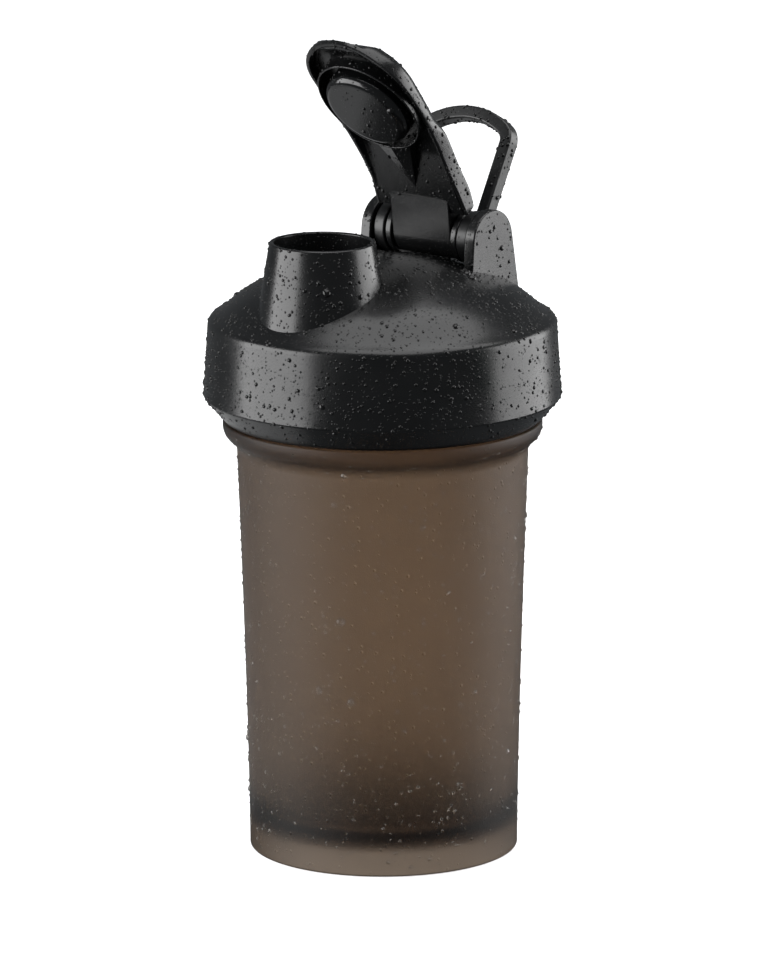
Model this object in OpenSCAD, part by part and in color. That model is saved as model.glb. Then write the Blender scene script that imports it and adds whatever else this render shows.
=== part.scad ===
// Protein shaker bottle: a frosted jar, a screw lid with a drinking spout, a flip cap that
// plugs the spout, and a carry loop on the same hinge.
// The origin is the centre of the base. The spout points to -Y, the hinge lies towards +Y along X.

/* [Jar] */
// Radius of the jar at its foot
foot_r = 37.1; // [36.5:0.1:37.4]
// Radius of the jar just under the collar
top_r = 40.1; // [39.9:0.1:40.2]
// Thickness of the jar wall
jar_wall = 1.7; // [1.4:0.1:1.9]
// Height of the inside floor
floor_z = 11; // [9:0.5:13]

/* [Lid] */
// Widest radius of the lid, at the bottom of the grip
grip_r = 49.2; // [48.6:0.1:49.8]
// Radius of the lid at the top of the grip
grip_top_r = 48; // [48:0.1:48.4]
// Radius of the curve of the dome
dome_r = 80; // [79.6:0.1:80.2]
// Distance of the spout from the axis of the jar
spout_y = 25.2; // [25:0.1:25.4]
// Height of the spout rim
spout_z = 174; // [173.6:0.1:174.2]

/* [Hinge] */
// Distance of the hinge axis from the axis of the jar
hinge_y = 23.4; // [23.2:0.1:23.6]
// Height of the hinge axis
hinge_z = 169.2; // [169:0.1:169.4]
// How far the flip cap stands open, in degrees from closed
open_deg = 52; // [0:1:84]
// How far the carry loop leans back from upright, in degrees
lean_deg = 28.5; // [28.5:0.5:120]

/* [Thread] */
// Rise of the thread in one turn
pitch = 6; // [5.6:0.2:6.4]
// Length of each thread in degrees
thread_deg = 450; // [360:30:450]

/* [Hidden] */
$fn = 96;
EPS = 0.01;

// Jar
taper_power = 1.4;         // the wall leans out faster towards the top
flare_z = 112;             // where the wall starts to flare into the collar
flare_arc = 56;            // turn of each of the two arcs of the flare
flare_r = 4.4;             // radius of both arcs
collar_r = 44;
collar_z = 120.9;
neck_r = 40.4;
neck_bore_r = 38.6;
rim_z = 146.5;
floor_t = 2.2;
floor_fillet = 7;
foot_fillet = 0.8;

// Thread: a ridge on the neck and one in the lid, half a pitch lower
ridge_z = 129;             // start of the ridge on the neck
ridge_h = 1.6;             // how far a ridge stands out
ridge_root = 0.6;          // how deep its foot is sunk into the wall
ridge_base = 3;            // width of a ridge at its foot
ridge_crest = 1.6;         // width of a ridge at its crest
ridge_step = 10;           // degrees from one cross-section to the next
ridge_taper = 30;          // degrees over which a ridge fades at each end

// Lid
lid_z = 121.2;
lid_edge_r = 43.6;
grip_z = 127.6;
grip_top_z = 147.3;
shoulder_r = 2.6;          // radius of the rounding between grip and dome
ledge_r = 16;              // radius of the hollow curve inside the shoulder
ledge_a = 27;              // slope where that curve meets the shoulder
brow_r = 32;               // radius of the tighter curve at the edge of the dome
brow_a = 25;               // slope where the dome passes into it
dome_top = 165.86;
lid_bore_r = 42.4;
ceiling_z = 149.3;
lid_t = 2.2;
plug_wall_r = 38.3;        // outside of the wall that reaches into the jar's mouth
plug_wall_t = 1.8;
plug_wall_z = 141;
dome_cz = dome_top - dome_r;

// Spout
spout_r = 14.44;
spout_bore_r = 13.2;
spout_flare = 0.163;       // growth of the radius per millimetre downwards
spout_foot_z = 151;
bore_straight = 9;         // depth of the straight part that takes the plug
bore_foot_z = 152;

// Hinge stack, measured along X from the middle
barrel_r = 6.5;
barrel_x = 10.6;
flange_r = 7.2;
flange_x = 12.6;
eye_r = 7.5;
eye_x0 = 12.9;
eye_x1 = 16.5;
ear_x0 = 16.8;
ear_x1 = 20.2;
ear_r = 8.5;
pivot_r = 3.5;
pivot_end = 18.8;
socket_end = 19.1;
bridge_w = 11;             // the bridge between the ears: front to back, and its height
bridge_h = 6;
bridge_front = 3;          // how far it starts in front of the hinge axis
running = 0.06;            // radial clearance of a running fit

// Flip cap, measured from the hinge axis: forward to the spout, and up
reach = hinge_y + spout_y;
crown_h = 8;
plate_t = 2.7;
rim_h = 2.5;
rim_t = 1.3;
head_r = 17.3;
tab_r = 17.2;
tab_rim_h = 1.6;           // the rim is lower at the tab
tab_d = 55.3;
arm_w = 15.4;
arm_root_w = 16.2;
arm_root_d = 9.7;
root_deck_h = 6.3;
root_h = 3.2;              // the root is low outside the barrel, so the loop's legs clear it
root_low_h = -0.8;
root_a = 32;               // slope of the barrel where the web to the arm leaves it
web_d = 4;                 // how far the web reaches into the arm, and its lower edge there
web_h = 0.9;
deck_d = 33;               // where the deck has risen to its full height
waist_d = 22;              // where the arm starts to widen towards the head
hollow_root_h = -0.4;      // height of the hollow's ceiling at the root
hollow_slope = 0.28;       // its rise towards the head, per millimetre
seal_ring_r = 16;
seal_ring_bore = 15.45;
seal_ring_h = 0.8;
post_r = 3;                // pin under the deck that the plug sits on
post_h = 2.6;
gusset_w = 12;             // width of the wedge between the ring and the arm, at the ring
gusset_d = 16.5;           // distance from the hinge axis to its point
gusset_h = 1.5;            // height of its ridge at the point
gusset_fall = 1.2;         // how much higher its lower edges lie than the ridge
cut = 20;                  // half the size of the blocks that outlines cut to shape

// Plug in the cap
plug_r = 12.8;
plug_h = -1.5;
plug_edge = 2.4;

// Carry loop, in its own upright frame
loop_t = 4.2;
leg_x0 = 12.7;
leg_x1 = 16.5;
loop_top = 36.7;
loop_corner_r = 6.5;
loop_arch_r = 27;

// Mixing grid
grid_t = 1.6;
grid_rim_t = 1.4;
grid_rim_h = 4;
grid_hole_r = 3.6;
grid_pitch = 9.6;
grid_rings = 3;

// Points along an arc
function arc(cx, cy, r, a0, a1, n = 8) =
    [for (i = [0 : n]) let (a = a0 + (a1 - a0) * i / n) [cx + r * cos(a), cy + r * sin(a)]];

function jar_r(z) = foot_r + (top_r - foot_r) * pow(z / flare_z, taper_power);

// The two arcs that carry the wall out to the collar
function flare() = concat(
    arc(top_r + flare_r, flare_z, flare_r, 180, 180 - flare_arc, 5),
    arc(collar_r - flare_r, flare_z + 2 * flare_r * sin(flare_arc), flare_r, -flare_arc, 0, 5));

function jar_outside() = concat(
    arc(foot_r - foot_fillet, foot_fillet, foot_fillet, -90, 0, 3),
    [for (i = [1 : 7]) [jar_r(flare_z * i / 8), flare_z * i / 8]],
    flare(),
    [[collar_r, collar_z - 0.6], [collar_r - 0.6, collar_z], [neck_r, collar_z],
     [neck_r, rim_z - 0.5], [neck_r - 0.5, rim_z]]);

// From the rim down the inside, round the floor, and back out under it
function jar_inside() = concat(
    [[neck_bore_r + 0.3, rim_z], [neck_bore_r, rim_z - 0.3], [neck_bore_r, flare_z]],
    [for (i = [7 : -1 : 2]) [jar_r(flare_z * i / 8) - jar_wall, flare_z * i / 8]],
    arc(jar_r(floor_z) - jar_wall - floor_fillet, floor_z + floor_fillet, floor_fillet, 0, -90, 6),
    [[0, floor_z], [0, floor_z - floor_t]],
    arc(foot_r - jar_wall - 3, floor_z - floor_t - 3, 3, 90, 0, 4),
    [[foot_r - jar_wall, 0]]);

// One trapezoid of a ridge at angle a: it stands out from radius r by rise (inwards if negative)
function ridge_section(a, r, z, rise, scale) =
    let (foot = r - sign(rise) * ridge_root, top = r + rise * scale)
    [for (p = [[foot, -ridge_base / 2], [top, -ridge_crest / 2], [top, ridge_crest / 2],
               [foot, ridge_base / 2]])
        [p[0] * cos(a), p[0] * sin(a), z + p[1] + pitch * a / 360]];

// A helical ridge: full height in the middle, fading to nothing at each end
module ridge(r, z, rise) {
    n = ceil(thread_deg / ridge_step);
    sections = [for (i = [0 : n])
        let (a = thread_deg * i / n,
             fade = max(0.12, min(1, a / ridge_taper, (thread_deg - a) / ridge_taper)))
        ridge_section(a, r, z, rise, fade)];
    sides = [for (i = [0 : n - 1], k = [0 : 3])
        let (a = 4 * i + k, b = 4 * i + (k + 1) % 4)
        rise > 0 ? [a, b, b + 4, a + 4] : [a, a + 4, b + 4, b]];
    cap_a = rise > 0 ? [3, 2, 1, 0] : [0, 1, 2, 3];
    cap_b = [for (k = rise > 0 ? [0, 1, 2, 3] : [3, 2, 1, 0]) 4 * n + k];
    polyhedron([for (s = sections, p = s) p], concat([cap_a, cap_b], sides), convexity = 6);
}

module jar() {
    color("#5a4a3e") {
        rotate_extrude(convexity = 6)
            polygon(concat(jar_outside(), jar_inside()));
        ridge(neck_r, ridge_z, ridge_h);
    }
}

// Outside of the lid, as a filled outline up to the top of the dome: the shoulder runs into a hollow
// curve, a straight flank at the slope flank_a, the brow of the dome and the dome itself
function lid_outside() =
    let (ledge = [grip_top_r - shoulder_r, grip_top_z]
            + (shoulder_r + ledge_r) * [sin(ledge_a), cos(ledge_a)],
         brow = [0, dome_cz] + (dome_r - brow_r) * [sin(brow_a), cos(brow_a)],
         between = ledge - brow,
         flank_a = atan2(between[0], between[1]) - acos((brow_r + ledge_r) / norm(between)))
    concat(
        [[0, lid_z], [lid_edge_r, lid_z], [grip_r - 0.4, grip_z - 0.4], [grip_r, grip_z + 0.4]],
        arc(grip_top_r - shoulder_r, grip_top_z, shoulder_r, 0, 90 - ledge_a, 4),
        arc(ledge[0], ledge[1], ledge_r, 270 - ledge_a - 2, 270 - flank_a, 2),
        arc(brow[0], brow[1], brow_r, 90 - flank_a, 90 - brow_a - 2, 3),
        arc(0, dome_cz, dome_r, 90 - brow_a, 90, 8));

// What is cut out of the lid: dome, the space round the wall that enters the jar's mouth,
// gasket seat and threaded bore
function lid_inside() = concat(
    arc(0, dome_cz, dome_r - lid_t, 90, acos((plug_wall_r - plug_wall_t) / (dome_r - lid_t)), 8),
    [[plug_wall_r - plug_wall_t, plug_wall_z], [plug_wall_r - 0.5, plug_wall_z],
     [plug_wall_r, plug_wall_z + 0.5], [plug_wall_r, ceiling_z], [lid_bore_r, ceiling_z],
     [lid_bore_r, lid_z - 1], [0, lid_z - 1]]);

module spout_outside() {
    lip = 0.5;
    grow = spout_flare * (spout_z - spout_foot_z);
    rotate_extrude()
        polygon(concat([[0, spout_foot_z], [spout_r + grow, spout_foot_z]],
            arc(spout_r - lip, spout_z - lip, lip, 0, 90, 4), [[0, spout_z]]));
}

// The bore stops above the gasket seat, so the front of the spout leaves a ledge over it
module spout_bore() {
    lip = 0.4;
    grow = spout_flare * (spout_z - bore_straight - bore_foot_z);
    rotate_extrude()
        polygon([[0, bore_foot_z], [spout_bore_r + grow, bore_foot_z],
            [spout_bore_r, spout_z - bore_straight], [spout_bore_r, spout_z - lip],
            [spout_bore_r + lip, spout_z], [spout_bore_r + lip, spout_z + 1], [0, spout_z + 1]]);
}

// An ear is a round top on a foot that spreads as it goes down; front and back lean by these angles
module ear_outline() {
    front = 5;
    back = 11;
    foot = 17;
    circle(r = ear_r);
    polygon([[-ear_r * cos(front), ear_r * sin(front)],
        [-ear_r * cos(front) - foot * sin(front), -foot], [ear_r * cos(back) + foot * tan(back), -foot],
        [ear_r * cos(back), ear_r * sin(back)]]);
}

module along_x(x0, x1) {
    translate([x0, 0, 0])
        rotate([90, 0, 90])
            linear_extrude(x1 - x0)
                children();
}

module pin_x(r, x0, x1) {
    translate([x0, 0, 0])
        rotate([0, 90, 0])
            cylinder(r = r, h = x1 - x0);
}

module at_hinge() {
    translate([0, hinge_y, hinge_z])
        children();
}

module ears() {
    for (side = [0, 1])
        mirror([side, 0, 0])
            at_hinge()
                along_x(ear_x0, ear_x1)
                    ear_outline();
}

// Low bridge between the ears, just clear of everything that turns above it
module bridge() {
    clear = 0.4;
    sunk = 1;
    top = hinge_z - eye_r - clear;
    translate([-ear_x0 - sunk, hinge_y - bridge_front, top - bridge_h])
        cube([2 * (ear_x0 + sunk), bridge_w, bridge_h]);
}

module sockets() {
    for (side = [0, 1])
        mirror([side, 0, 0])
            at_hinge()
                pin_x(pivot_r + running, ear_x0 - 1, socket_end);
}

module lid() {
    color("#1d1d1f") {
        difference() {
            union() {
                rotate_extrude()
                    polygon(lid_outside());
                translate([0, -spout_y, 0])
                    spout_outside();
                ears();
                bridge();
            }
            rotate_extrude(convexity = 6)
                polygon(lid_inside());
            translate([0, -spout_y, 0])
                spout_bore();
            sockets();
        }
        ridge(lid_bore_r, ridge_z - pitch / 2, -ridge_h);
    }
}

module lid_gasket() {
    gap = 0.2;
    color("#4a4a4c")
        rotate_extrude()
            translate([plug_wall_r + gap, rim_z + gap])
                square([lid_bore_r - plug_wall_r - 2 * gap, ceiling_z - rim_z - 2 * gap]);
}

module mixing_grid() {
    r = plug_wall_r - plug_wall_t;
    z = plug_wall_z + 0.2;
    color("#1d1d1f")
        translate([0, 0, z]) {
            difference() {
                cylinder(r = r, h = grid_rim_h);
                translate([0, 0, grid_t])
                    cylinder(r = r - grid_rim_t, h = grid_rim_h);
                grid_holes();
            }
        }
}

// Holes on a triangular lattice, as far out as whole rings fit
module grid_holes() {
    for (i = [-grid_rings : grid_rings], j = [-grid_rings : grid_rings])
        if (abs(i + j) <= grid_rings)
            translate([(i + j / 2) * grid_pitch, j * grid_pitch * sqrt(3) / 2, -1])
                cylinder(r = grid_hole_r, h = grid_t + 2);
}

// The cap's own frame has the hinge axis at its origin, the spout towards -Y and the crown up
module cap_frame() {
    at_hinge()
        rotate([-open_deg, 0, 0])
            children();
}

// Plan of the cap: a round head that runs into the thumb tab, and an arm; inset shrinks it evenly
module cap_plan(inset = 0) {
    lean = asin((head_r - tab_r) / (tab_d - reach));
    cheek = [0.6, 9];
    translate([0, -reach])
        circle(r = head_r - inset);
    translate([0, -tab_d])
        circle(r = tab_r - inset);
    for (side = [-1, 1])
        polygon([[0, -reach], [side * (head_r - inset) * cos(lean), -reach - (head_r - inset) * sin(lean)],
            [side * (tab_r - inset) * cos(lean), -tab_d - (tab_r - inset) * sin(lean)], [0, -tab_d]]);
    for (side = [-1, 1])
        polygon([for (p = [[0, -reach], [head_r, -reach], [head_r - cheek[0], -reach + cheek[1]],
            [arm_w, -waist_d], [arm_root_w, -arm_root_d], [0, -arm_root_d]])
            [side * max(0, p[0] - inset), min(p[1], -arm_root_d - inset)]]);
}

// Side view of the cap: the deck rises from the root, runs level over the head and turns down at
// the tab; the rim below it follows
module cap_side() {
    tip = -tab_d - tab_r;
    past = 1;
    brow = 7.5;
    brow_y = tip + brow + 1.5;
    root_y = -arm_root_d + 2;
    polygon(concat([[root_y, root_h], [root_y - brow, root_deck_h], [-deck_d, crown_h]],
        arc(brow_y, crown_h - brow, brow, 90, 160, 5),
        [[tip - past, tab_rim_h + 0.6], [tip + 6, tab_rim_h], [-reach - 1.4, rim_h],
         [-deck_d - 1, rim_h + 0.3], [-gusset_d - 0.5, 1.4], [root_y, root_low_h]]));
}

// What is cut out under the deck: it slopes down towards the root and stays shallow there
module cap_hollow() {
    tip = -tab_d - tab_r;
    ceiling = crown_h - plate_t;
    below = -5;
    rise_d = (ceiling - hollow_root_h) / hollow_slope;
    polygon([[-arm_root_d, hollow_root_h], [-arm_root_d - rise_d, ceiling], [tip + 10, ceiling],
        [tip + 3, ceiling - 2], [tip + 1, below], [-arm_root_d, below]]);
}

module upright() {
    translate([0, 0, -cut])
        linear_extrude(2 * cut)
            children();
}

module cap_shell() {
    difference() {
        intersection() {
            upright()
                cap_plan();
            along_x(-cut, cut)
                cap_side();
        }
        intersection() {
            upright()
                cap_plan(rim_t);
            along_x(-cut, cut)
                cap_hollow();
        }
    }
}

// The ring that closes round the outside of the spout
module seal_ring() {
    translate([0, -reach, seal_ring_h])
        difference() {
            cylinder(r = seal_ring_r, h = crown_h - plate_t - seal_ring_h + 0.5);
            translate([0, 0, -1])
                cylinder(r = seal_ring_bore, h = cut);
        }
    translate([0, -reach, crown_h - plate_t - post_h])
        cylinder(r = post_r, h = post_h + 1);
}

// Wedge between the ring and the arm, with a low ridge along its middle
module gusset() {
    foot = -reach + seal_ring_r - 0.4;
    intersection() {
        upright()
            polygon([[-gusset_w / 2, foot], [gusset_w / 2, foot], [0, -gusset_d]]);
        along_x(-gusset_w, gusset_w)
            polygon([[foot - 1, crown_h - 1], [foot - 1, seal_ring_h], [-gusset_d, gusset_h],
                [-gusset_d, gusset_h + 1], [foot + 1, crown_h - 1]]);
        rotate([90, 0, 0])
            linear_extrude(reach)
                polygon([[-gusset_w / 2, crown_h], [-gusset_w / 2, seal_ring_h + gusset_fall],
                    [0, seal_ring_h], [gusset_w / 2, seal_ring_h + gusset_fall], [gusset_w / 2, crown_h]]);
    }
}

// Barrel, end flanges and the pivots that pass through the loop's eyes into the ears
module cap_barrel() {
    pin_x(barrel_r, -barrel_x, barrel_x);
    for (side = [0, 1])
        mirror([side, 0, 0]) {
            pin_x(flange_r, barrel_x - EPS, flange_x);
            pin_x(pivot_r, flange_x - EPS, pivot_end);
        }
}

// Web between barrel and arm; its lower face runs off the barrel where the barrel's slope is root_a
module cap_root() {
    along_x(-barrel_x, barrel_x)
        polygon([[0, barrel_r], [-arm_root_d - web_d, root_deck_h], [-arm_root_d - web_d, web_h],
            [-barrel_r * sin(root_a), -barrel_r * cos(root_a)], [0, 0]]);
}

module flip_cap() {
    color("#1d1d1f")
        cap_frame() {
            cap_shell();
            cap_root();
            cap_barrel();
            seal_ring();
            gusset();
        }
}

module spout_seal() {
    top = crown_h - plate_t;
    color("#2a2a2c")
        cap_frame()
            translate([0, -reach, 0])
                difference() {
                    rotate_extrude()
                        polygon(concat([[0, plug_h]],
                            arc(plug_r - plug_edge, plug_h + plug_edge, plug_edge, -90, 0, 5),
                            [[plug_r, top], [0, top]]));
                    translate([0, 0, top - post_h])
                        cylinder(r = post_r, h = post_h + 1);
                }
}

// The loop's outline: straight legs, and rounded corners that run smoothly into an arched top.
// inset shrinks it evenly.
module loop_plan(inset) {
    arch_z = loop_top - loop_arch_r;
    corner_x = leg_x1 - loop_corner_r;
    corner_z = arch_z + sqrt(pow(loop_arch_r - loop_corner_r, 2) - corner_x * corner_x);
    w = leg_x1 - inset;
    overlap = 0.1;
    polygon([[-w, 0], [w, 0], [w, corner_z], [corner_x, corner_z], [0, arch_z],
        [-corner_x, corner_z], [-w, corner_z]]);
    for (side = [-1, 1])
        translate([side * corner_x, corner_z])
            circle(r = loop_corner_r - inset);
    intersection() {
        translate([0, arch_z])
            circle(r = loop_arch_r - inset);
        translate([0, -overlap])
            polygon([[0, arch_z], [2 * corner_x, 2 * corner_z - arch_z],
                [-2 * corner_x, 2 * corner_z - arch_z]]);
    }
}

module carry_loop() {
    color("#1d1d1f")
        at_hinge()
            rotate([-lean_deg, 0, 0])
                difference() {
                    union() {
                        translate([0, loop_t / 2, 0])
                            rotate([90, 0, 0])
                                linear_extrude(loop_t)
                                    difference() {
                                        loop_plan(0);
                                        loop_plan(leg_x1 - leg_x0);
                                    }
                        for (side = [0, 1])
                            mirror([side, 0, 0])
                                pin_x(eye_r, eye_x0, eye_x1);
                    }
                    pin_x(flange_r + 0.4, -flange_x - 0.25, flange_x + 0.25);
                    pin_x(pivot_r + running, -eye_x1 - 1, eye_x1 + 1);
                }
}

jar();
lid();
lid_gasket();
mixing_grid();
flip_cap();
spout_seal();
carry_loop();
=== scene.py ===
"""Looks of the protein shaker bottle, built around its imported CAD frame.

Shapes are drawn in millimetres in the CAD frame and become metres when a piece is made. Each detailed
piece stands for one CAD node and rides on its body. Water beads lie on the outer faces, as separate pieces.
"""

import math

import bmesh
import bpy
import numpy as np
from mathutils import Matrix, Vector


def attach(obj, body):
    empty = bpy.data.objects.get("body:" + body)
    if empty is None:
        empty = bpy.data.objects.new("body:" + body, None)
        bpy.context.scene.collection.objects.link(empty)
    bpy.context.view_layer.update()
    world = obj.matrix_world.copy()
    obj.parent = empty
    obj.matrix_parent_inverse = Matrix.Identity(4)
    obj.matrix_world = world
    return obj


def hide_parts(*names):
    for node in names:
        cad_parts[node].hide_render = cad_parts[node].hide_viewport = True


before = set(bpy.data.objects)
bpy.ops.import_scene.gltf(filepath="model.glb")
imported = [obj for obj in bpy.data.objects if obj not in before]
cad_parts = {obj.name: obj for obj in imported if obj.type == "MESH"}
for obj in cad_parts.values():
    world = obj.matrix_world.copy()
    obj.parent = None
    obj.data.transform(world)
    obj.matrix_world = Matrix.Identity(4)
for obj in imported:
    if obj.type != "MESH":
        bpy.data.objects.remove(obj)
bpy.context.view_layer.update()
MM = 0.001

# Jar
FOOT_R, TOP_R, TAPER_POWER = 37.1, 40.1, 1.4
JAR_WALL, FLOOR_Z, FLOOR_T, FLOOR_FILLET = 1.7, 11.0, 2.2, 7.0
FLARE_Z, FLARE_R, FLARE_ARC = 112.0, 4.4, 56.0
COLLAR_R, COLLAR_Z = 44.0, 120.9
NECK_R, NECK_BORE_R, RIM_Z = 40.4, 38.6, 146.5

# Lid
GRIP_R, GRIP_TOP_R, GRIP_Z, GRIP_TOP_Z = 49.2, 48.0, 127.6, 147.3
LID_Z, LID_EDGE_R, LID_BORE_R, CEILING_Z = 121.2, 43.6, 42.4, 149.3
SHOULDER_R, LEDGE_R, LEDGE_A = 2.6, 16.0, 27.0
BROW_R, BROW_A, DOME_R, DOME_TOP, LID_T = 32.0, 25.0, 80.0, 165.86, 2.2
DOME_CZ = DOME_TOP - DOME_R
PLUG_WALL_R, PLUG_WALL_T, PLUG_WALL_Z = 38.3, 1.8, 141.0
SPOUT_Y, SPOUT_Z, SPOUT_R, SPOUT_BORE_R, SPOUT_FLARE = 25.2, 174.0, 14.44, 13.2, 0.163

# Thread
PITCH, THREAD_DEG, RIDGE_Z, RIDGE_H = 6.0, 450.0, 129.0, 1.6
RIDGE_FADE = 30.0                         # degrees over which a ridge fades at each end

# Hinge stack, measured along X from the middle
HINGE = Vector((0, 23.4, 169.2))
BARREL_R, BARREL_X, FLANGE_R, FLANGE_X = 6.5, 10.6, 7.2, 12.6
EYE_R, EYE_X0, EYE_X1 = 7.5, 12.9, 16.5
EAR_R, EAR_X0, EAR_X1, EAR_FOOT = 8.5, 16.8, 20.2, 17.0
PIVOT_R, PIVOT_END, SOCKET_END, RUNNING = 3.5, 18.8, 19.1, 0.06

# Flip cap and carry loop, each in its own frame at the hinge
OPEN_DEG, LEAN_DEG = 52.0, 28.5
REACH = HINGE.y + SPOUT_Y
HEAD_R, TAB_R, TAB_D = 17.3, 17.2, 55.3
ARM_W, ARM_ROOT_D, CROWN_H, PLATE_T, RIM_T = 15.4, 9.7, 8.0, 2.7, 1.3
HOLLOW_ROOT_H, HOLLOW_SLOPE = -0.4, 0.28
ROOT_A, WEB_END = 32.0, 13.7
RING_R, RING_BORE, RING_H = 16.0, 15.45, 0.8
PLUG_R, PLUG_H, PLUG_EDGE = 12.8, -1.5, 2.4
LOOP_T, LEG_X0, LEG_X1 = 4.2, 12.7, 16.5
LOOP_TOP, LOOP_CORNER_R, LOOP_ARCH_R = 36.7, 6.5, 27.0

ROUND = 160     # sides of a large round shape


# ---------------------------------------------------------------- outlines

def arc(cx, cy, r, start, end, steps):
    """Points along an arc, with angles in degrees."""
    angles = [math.radians(start + (end - start) * k / steps) for k in range(steps + 1)]
    return [(cx + r * math.cos(a), cy + r * math.sin(a)) for a in angles]


def soften(corners, closed=False, steps=5):
    """An outline of (x, y) or (x, y, radius) corners, with each radius drawn as an arc."""
    points = []
    for i, corner in enumerate(corners):
        here = Vector(corner[:2])
        radius = corner[2] if len(corner) > 2 else 0
        if radius == 0 or (not closed and i in (0, len(corners) - 1)):
            points.append(tuple(here))
            continue
        back = Vector(corners[i - 1][:2]) - here
        ahead = Vector(corners[(i + 1) % len(corners)][:2]) - here
        half = back.angle(ahead) / 2
        cut = min(radius / math.tan(half), 0.49 * back.length, 0.49 * ahead.length)
        centre = here + (back.normalized() + ahead.normalized()).normalized() * (cut / math.cos(half))
        start = here + back.normalized() * cut - centre
        end = here + ahead.normalized() * cut - centre
        turn = math.atan2(start.x * end.y - start.y * end.x, start.dot(end))
        for k in range(steps + 1):
            points.append(tuple(centre + Matrix.Rotation(turn * k / steps, 2) @ start))
    return points


def inset(outline, distance):
    """A closed anticlockwise outline moved inwards."""
    moved = []
    for i, point in enumerate(outline):
        here = Vector(point)
        before = (here - Vector(outline[i - 1])).normalized()
        after = (Vector(outline[(i + 1) % len(outline)]) - here).normalized()
        n0, n1 = Vector((-before.y, before.x)), Vector((-after.y, after.x))
        moved.append(tuple(here + (n0 + n1) * (distance / (1 + n0.dot(n1)))))
    return moved


def smoothstep(value):
    t = min(1.0, max(0.0, value))
    return t * t * (3 - 2 * t)


# ---------------------------------------------------------------- solids, as (vertices, faces)

def lathe(profile, steps=ROUND, closed=False):
    """A profile of (radius, height) turned about Z; it starts and ends on the axis unless it is closed."""
    verts, faces, rings = [], [], []
    turns = [(math.cos(2 * math.pi * k / steps), math.sin(2 * math.pi * k / steps)) for k in range(steps)]
    for r, z in profile:
        on_axis = r < 1e-6
        rings.append(list(range(len(verts), len(verts) + (1 if on_axis else steps))))
        verts += [(0, 0, z)] if on_axis else [(r * c, r * s, z) for c, s in turns]
    for a, b in zip(rings, rings[1:] + (rings[:1] if closed else [])):
        for k in range(steps):
            j = (k + 1) % steps
            if len(a) == 1 and len(b) == 1:
                continue
            if len(a) == 1:
                faces.append((a[0], b[k], b[j]))
            elif len(b) == 1:
                faces.append((a[k], b[0], a[j]))
            else:
                faces.append((a[k], b[k], b[j], a[j]))
    return verts, faces


def stacked(rings, closed=False):
    """Rings of equal length joined in order, with both ends filled unless the stack closes on itself."""
    size = len(rings[0])
    verts = [p for ring in rings for p in ring]
    faces = []
    for i in range(len(rings) if closed else len(rings) - 1):
        a, b = i * size, (i + 1) % len(rings) * size
        faces += [(a + k, a + (k + 1) % size, b + (k + 1) % size, b + k) for k in range(size)]
    if not closed:
        faces += [tuple(range(size)), tuple(range((len(rings) - 1) * size, len(rings) * size))]
    return verts, faces


def slab(outline, low, high, bevel, steps=3):
    """An outline extruded from low to high along Z with rounded edges."""
    rings = []
    turns = [math.radians(90 * k / steps) for k in range(steps + 1)]
    levels = [(bevel * (1 - math.sin(t)), low + bevel * (1 - math.cos(t))) for t in turns]
    levels += [(d, high + low - z) for d, z in reversed(levels)]
    for distance, z in levels:
        rings.append([(x, y, z) for x, y in inset(outline, distance)])
    return stacked(rings)


def ridge(radius, z, rise):
    """A helical thread ridge with rounded flanks, faded at both ends."""
    steps = 90
    lower = [(-0.6, -1.5), (0.0, -1.5), (0.8, -1.15), (1.0, -0.6)]
    section = lower + [(out, -up) for out, up in reversed(lower)]
    rings = []
    for i in range(steps + 1):
        turned = THREAD_DEG * i / steps
        fade = smoothstep(min(turned, THREAD_DEG - turned) / RIDGE_FADE)
        a = math.radians(turned)
        ring = []
        for out, up in section:
            r = radius + rise * (out if out < 0 else out * max(fade, 0.05))
            ring.append((r * math.cos(a), r * math.sin(a), z + up + PITCH * turned / 360))
        rings.append(ring)
    return stacked(rings)


# ---------------------------------------------------------------- making objects

# local X, Y, Z become Y, Z, X
ALONG_X = Matrix(((0, 0, 1, 0), (1, 0, 0, 0), (0, 1, 0, 0), (0, 0, 0, 1)))
AT_HINGE = Matrix.Translation(HINGE)
CAP_FRAME = AT_HINGE @ Matrix.Rotation(math.radians(-OPEN_DEG), 4, "X")
LOOP_FRAME = AT_HINGE @ Matrix.Rotation(math.radians(-LEAN_DEG), 4, "X")
MIRROR_X = Matrix.Scale(-1, 4, (1, 0, 0))


def solid(name, shape, place=Matrix.Identity(4)):
    """An object from (vertices, faces) in millimetres, placed by a matrix in millimetres."""
    verts, faces = shape
    bm = bmesh.new()
    made = [bm.verts.new((place @ Vector(v)) * MM) for v in verts]
    for face in faces:
        corners = list(dict.fromkeys(made[i] for i in face))
        if len(corners) > 2 and bm.faces.get(corners) is None:
            bm.faces.new(corners)
    bmesh.ops.remove_doubles(bm, verts=bm.verts, dist=0.002 * MM)
    open_edges = [e for e in bm.edges if e.is_boundary]
    if open_edges:
        bmesh.ops.holes_fill(bm, edges=open_edges, sides=0)
    bmesh.ops.recalc_face_normals(bm, faces=bm.faces)
    mesh = bpy.data.meshes.new(name)
    bm.to_mesh(mesh)
    bm.free()
    obj = bpy.data.objects.new(name, mesh)
    bpy.context.scene.collection.objects.link(obj)
    return obj


def combine(base, tools):
    """base with each (operation, tool) applied in order as an exact boolean; the tools are used up."""
    for operation, tool in tools:
        step = base.modifiers.new(tool.name, "BOOLEAN")
        step.operation, step.object, step.solver = operation, tool, "EXACT"
    graph = bpy.context.evaluated_depsgraph_get()
    mesh = bpy.data.meshes.new_from_object(base.evaluated_get(graph))
    base.modifiers.clear()
    base.data = mesh
    for _, tool in tools:
        bpy.data.objects.remove(tool)
    return base


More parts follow.
